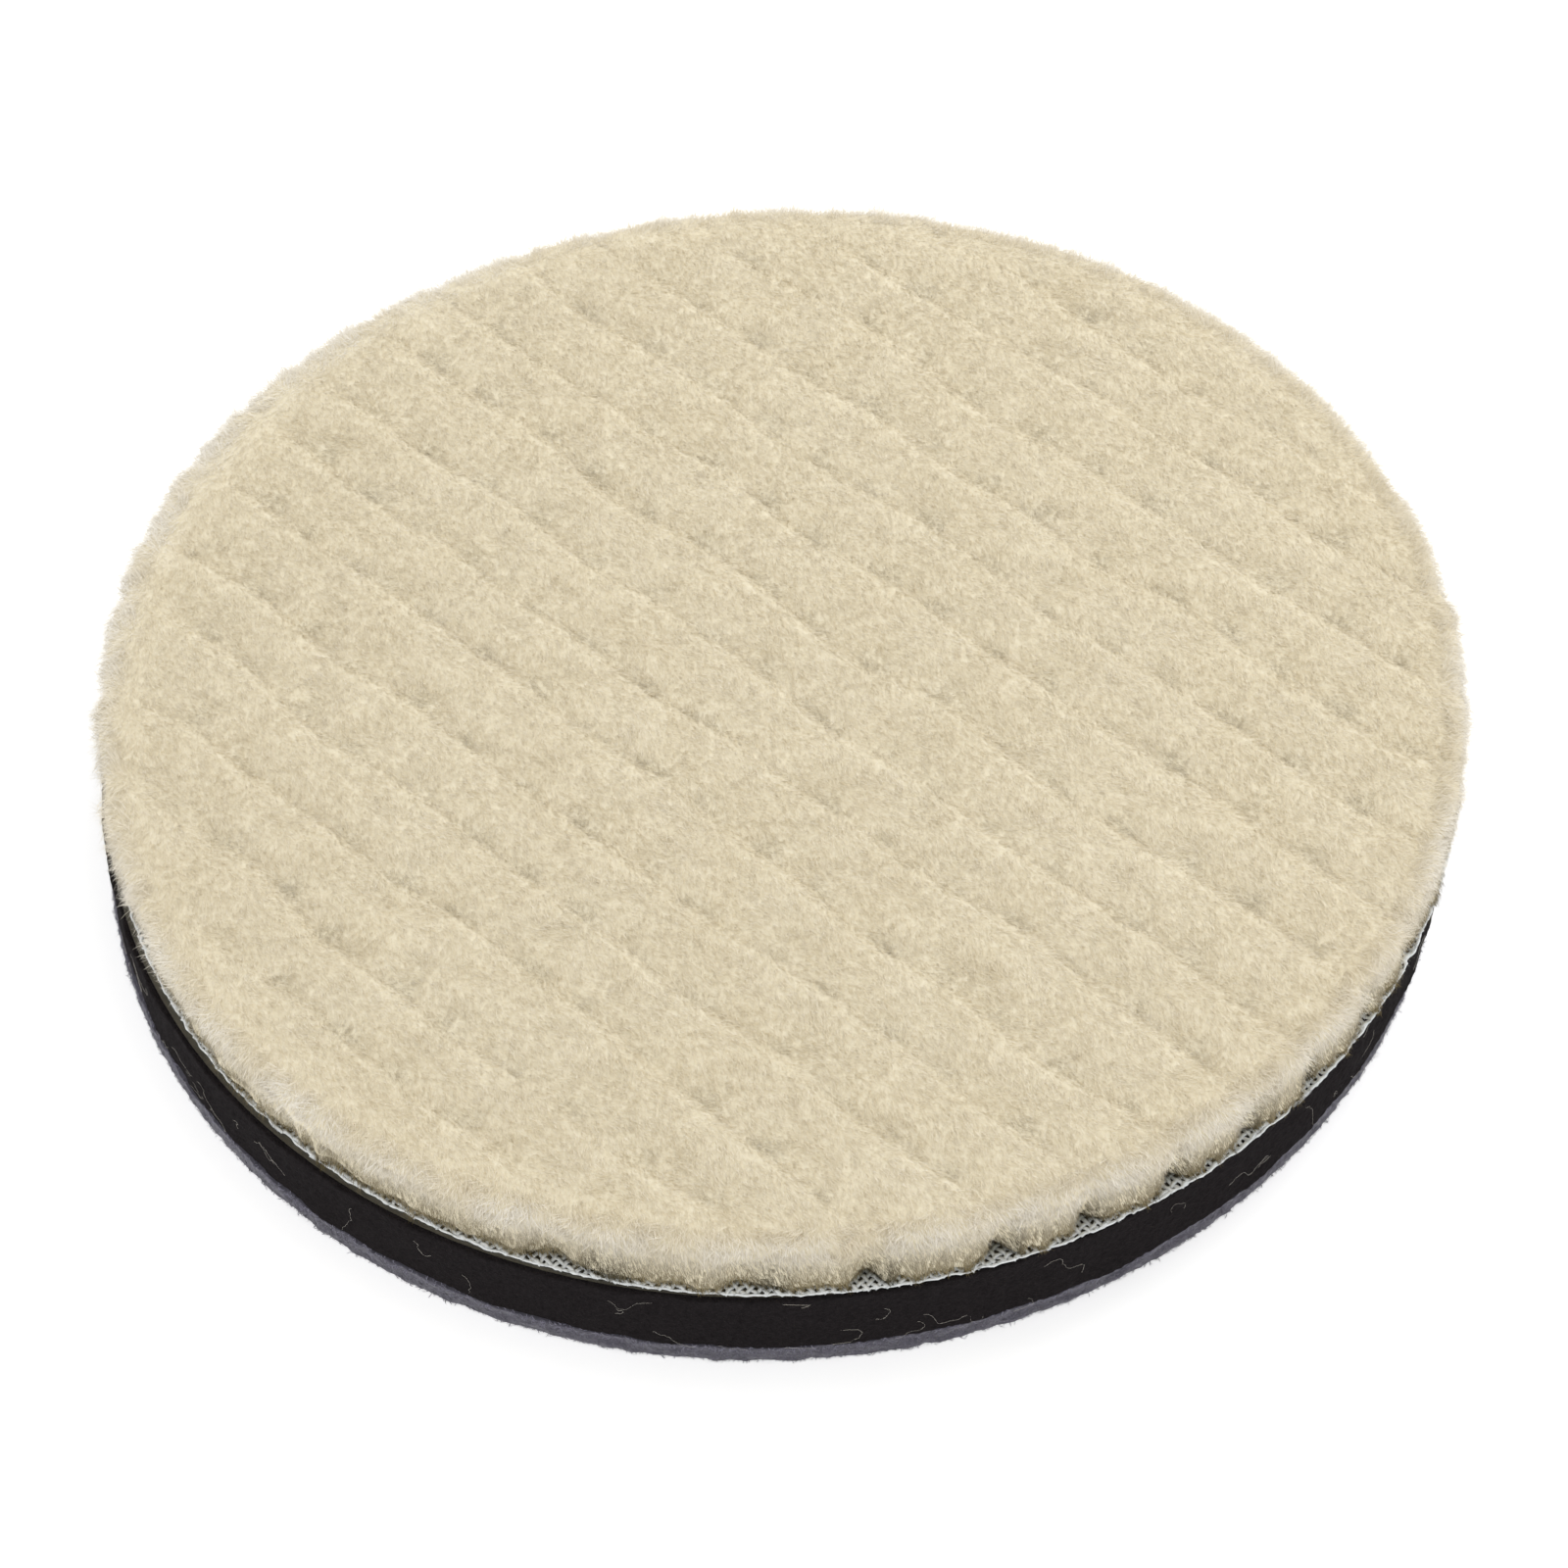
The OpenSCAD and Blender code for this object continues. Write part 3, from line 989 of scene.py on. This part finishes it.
loop_points, loop_quads, loop_tips = fibre_mesh(
    loop_root - loop_normal * LOOP_ROOT, loop_normal, loop_lean,
    chance.uniform(0.45, 0.9, count) * MM, chance.uniform(0.05, 0.08, count) * MM,
    chance.uniform(0.3, 0.9, count), chance.uniform(1.7, 2.8, count),
    chance.normal(0, 0.3, count), chance.normal(0, 0.4, count), LONG)
loop_points[:, 2] = np.maximum(loop_points[:, 2], loop_low + 0.01 * MM)
loop_nap = make_piece("loop_nap", loop_points + LOOP_SHIFT, loop_quads, loop_tips, {
    "tint": per_point(chance.uniform(0, 1, count), LONG),
    "upper": np.clip((loop_points[:, 2] - loop_low) / (loop_top - loop_low), 0, 1)})


def nylon_ground():
    """Lilac-grey knitted nylon, with painted shade between its lumps, which stand 0.7 mm apart."""
    material, tree = new_material("knitted_nylon")
    knit = noise(tree, 0.7 * MM)
    # One noise lifts the lumps and paints the shade between them.
    finish_material(
        tree, Base_Color=mixed(tree, knit, colour("36343d"), colour("615f6a")),
        Normal=bumped(tree, knit, 0.7, 0.3 * MM), Roughness=0.85, Specular_IOR_Level=0.3,
        Sheen_Weight=0.3)
    return material


def nylon_filament():
    """The brushed filaments: lilac-grey, lighter near the foam where they catch the light."""
    material, tree = new_material("brushed_nylon")
    own = mixed(tree, attribute(tree, "tint"), colour("44424c"), colour("6f6c79"))
    light = add_node(tree, "ShaderNodeMapRange", {
        "Value": attribute(tree, "upper"), "From Min": 0.6, "To Max": 0.6})
    finish_material(
        tree, Base_Color=mixed(tree, light.outputs["Result"], own, colour("8e8b9d")),
        Roughness=0.6, Specular_IOR_Level=0.4, Sheen_Weight=0.2)
    return material


loop_cloth.data.materials.append(nylon_ground())
loop_nap.data.materials.append(nylon_filament())
for piece in (loop_cloth, loop_nap):
    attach(piece, "root")
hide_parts("loop_fabric")
print("loop fabric:", triangles_in(loop_cloth), "and nap", triangles_in(loop_nap), "triangles")

# %% [markdown]
# ## Adhesive films
# The layers are joined by a web of hot-melt glue that is only just thick enough to see at the
# very edge. The frame's discs have the right shape and stay, with a glue material.

# %% Adhesive films
def hot_melt():
    """Cooled hot-melt glue, pressed clear into black foam: dark, yellowish and faintly glossy,
    with the paler threads of its web in it."""
    material, tree = new_material("hot_melt_glue")
    web = noise(tree, 1.5 * MM, 4.0)
    finish_material(
        tree, Base_Color=mixed(tree, web, colour("26241f"), colour("5a5548")), Roughness=0.45,
        IOR=1.48)
    return material


glue = hot_melt()
for name in ("lower_adhesive_film", "upper_adhesive_film"):
    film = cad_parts[name]
    film.data.materials.clear()
    film.data.materials.append(glue)

# %% [markdown]
# ## Loose fibres on the foam
# Cutting the pad sheds wool, and the foam's open cells hold on to the curls. Each is a thin
# three-sided tube along a path on the wall whose direction wanders as it goes: a running sum of
# small random turns.

# %% Loose curls
CURLS = 110
CURL_STEPS = 36


def curls_on_wall(seed):
    """Points and quads of all curls. A curl's heading is the running sum of smooth random
    turns, and its path the running sum of its heading, wrapped round the foam."""
    chance = np.random.default_rng(seed)
    length = chance.uniform(2, 8, CURLS) * MM
    step = (length / CURL_STEPS)[:, None]
    bend = chance.normal(0, 0.36, (CURLS, CURL_STEPS)) + chance.normal(0, 0.06, (CURLS, 1))
    heading = chance.uniform(-0.6, 0.6, (CURLS, 1)) + bend.cumsum(1)
    along = (np.cos(heading) * step).cumsum(1) + chance.uniform(0, 2 * np.pi, (CURLS, 1)) * foam_r
    z = (np.sin(heading) * step).cumsum(1) + chance.uniform(foam_low, foam_top, (CURLS, 1))
    z = np.clip(z, foam_low + 0.2 * MM, foam_top - 0.3 * MM)
    off = foam_r + 0.12 * MM + 0.1 * MM * (1 + np.sin(along / (1.1 * MM)))
    middle = np.stack([off * np.cos(along / foam_r), off * np.sin(along / foam_r), z], -1)
    way = unit(np.gradient(middle, axis=1))
    out = unit(middle * [1, 1, 0])
    side = unit(np.cross(way, out))
    lift = np.cross(side, way)
    thin = (chance.uniform(0.011, 0.02, (CURLS, 1, 1)) * MM) * np.ones((1, CURL_STEPS, 1))
    thin[:, -1] *= 0.3
    corner = np.radians([90, 210, 330])
    ring = [middle + thin / 2 * (side * np.cos(a) + lift * np.sin(a)) for a in corner]
    points = np.stack(ring, 2)
    at = np.arange(CURLS * CURL_STEPS * 3).reshape(CURLS, CURL_STEPS, 3)
    on = np.roll(at, -1, axis=2)
    quads = np.stack([at[:, :-1], on[:, :-1], on[:, 1:], at[:, 1:]], -1)
    return points.reshape(-1, 3), quads.reshape(-1, 4)


curl_points, curl_quads = curls_on_wall(61)
# The curls use the wool's fibre material at a rim share of 0.8, so they take on the rim's
# whitening, which is partly painted light.
curls = make_piece("loose_wool_curls", curl_points, curl_quads, None, {
    "tint": np.full(len(curl_points), 0.6), "tip": np.ones(len(curl_points)),
    "rim": np.full(len(curl_points), 0.8), "flank": np.zeros(len(curl_points)),
    "deep": np.zeros(len(curl_points))})
curls.data.materials.append(fibre_material)
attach(curls, "root")
print("loose curls:", triangles_in(curls), "triangles")

# %% [markdown]
# ## Floor and light
# A product picture: a plain white floor and large soft lights, so that the shadows are faint
# and the wool shows its relief by its shading, helped by the shade painted into its channels.
# The brightest light stands behind and to the right.

# %% Floor and light
FLOOR_HALF = 6.0
floor = make_piece(
    "floor",
    np.array([[-1, -1, 0], [1, -1, 0], [1, 1, 0], [-1, 1, 0]]) * FLOOR_HALF,
    np.array([[0, 1, 2, 3]]))
floor_material, tree = new_material("white_paper")
finish_material(
    tree, Base_Color=colour("fbfbfb"), Roughness=0.9, Specular_IOR_Level=0.1,
    Emission_Color=colour("ffffff"), Emission_Strength=0.36)
floor.data.materials.append(floor_material)


def soft_light(name, place, size, power):
    """A square area light that looks at the pad."""
    data = bpy.data.lights.new(name, "AREA")
    data.shape = "SQUARE"
    data.size = size
    data.energy = power
    light = bpy.data.objects.new(name, data)
    spot = Vector(place)
    facing = (Vector((0, 0, 0)) - spot).to_track_quat("-Z", "Y")
    light.matrix_world = Matrix.Translation(spot) @ facing.to_matrix().to_4x4()
    bpy.context.scene.collection.objects.link(light)


soft_light("key_light", (0.40, 0.45, 0.55), 0.5, 3.1)
soft_light("fill_light", (-1.0, -0.6, 1.0), 1.2, 3)
WORLD_STRENGTH = 0.88
world = bpy.data.worlds.new("studio")
world.use_nodes = True
sky = world.node_tree.nodes["Background"]
sky.inputs["Color"].default_value = colour("ffffff")
sky.inputs["Strength"].default_value = WORLD_STRENGTH
bpy.context.scene.world = world
bpy.context.scene.view_settings.view_transform = "Standard"
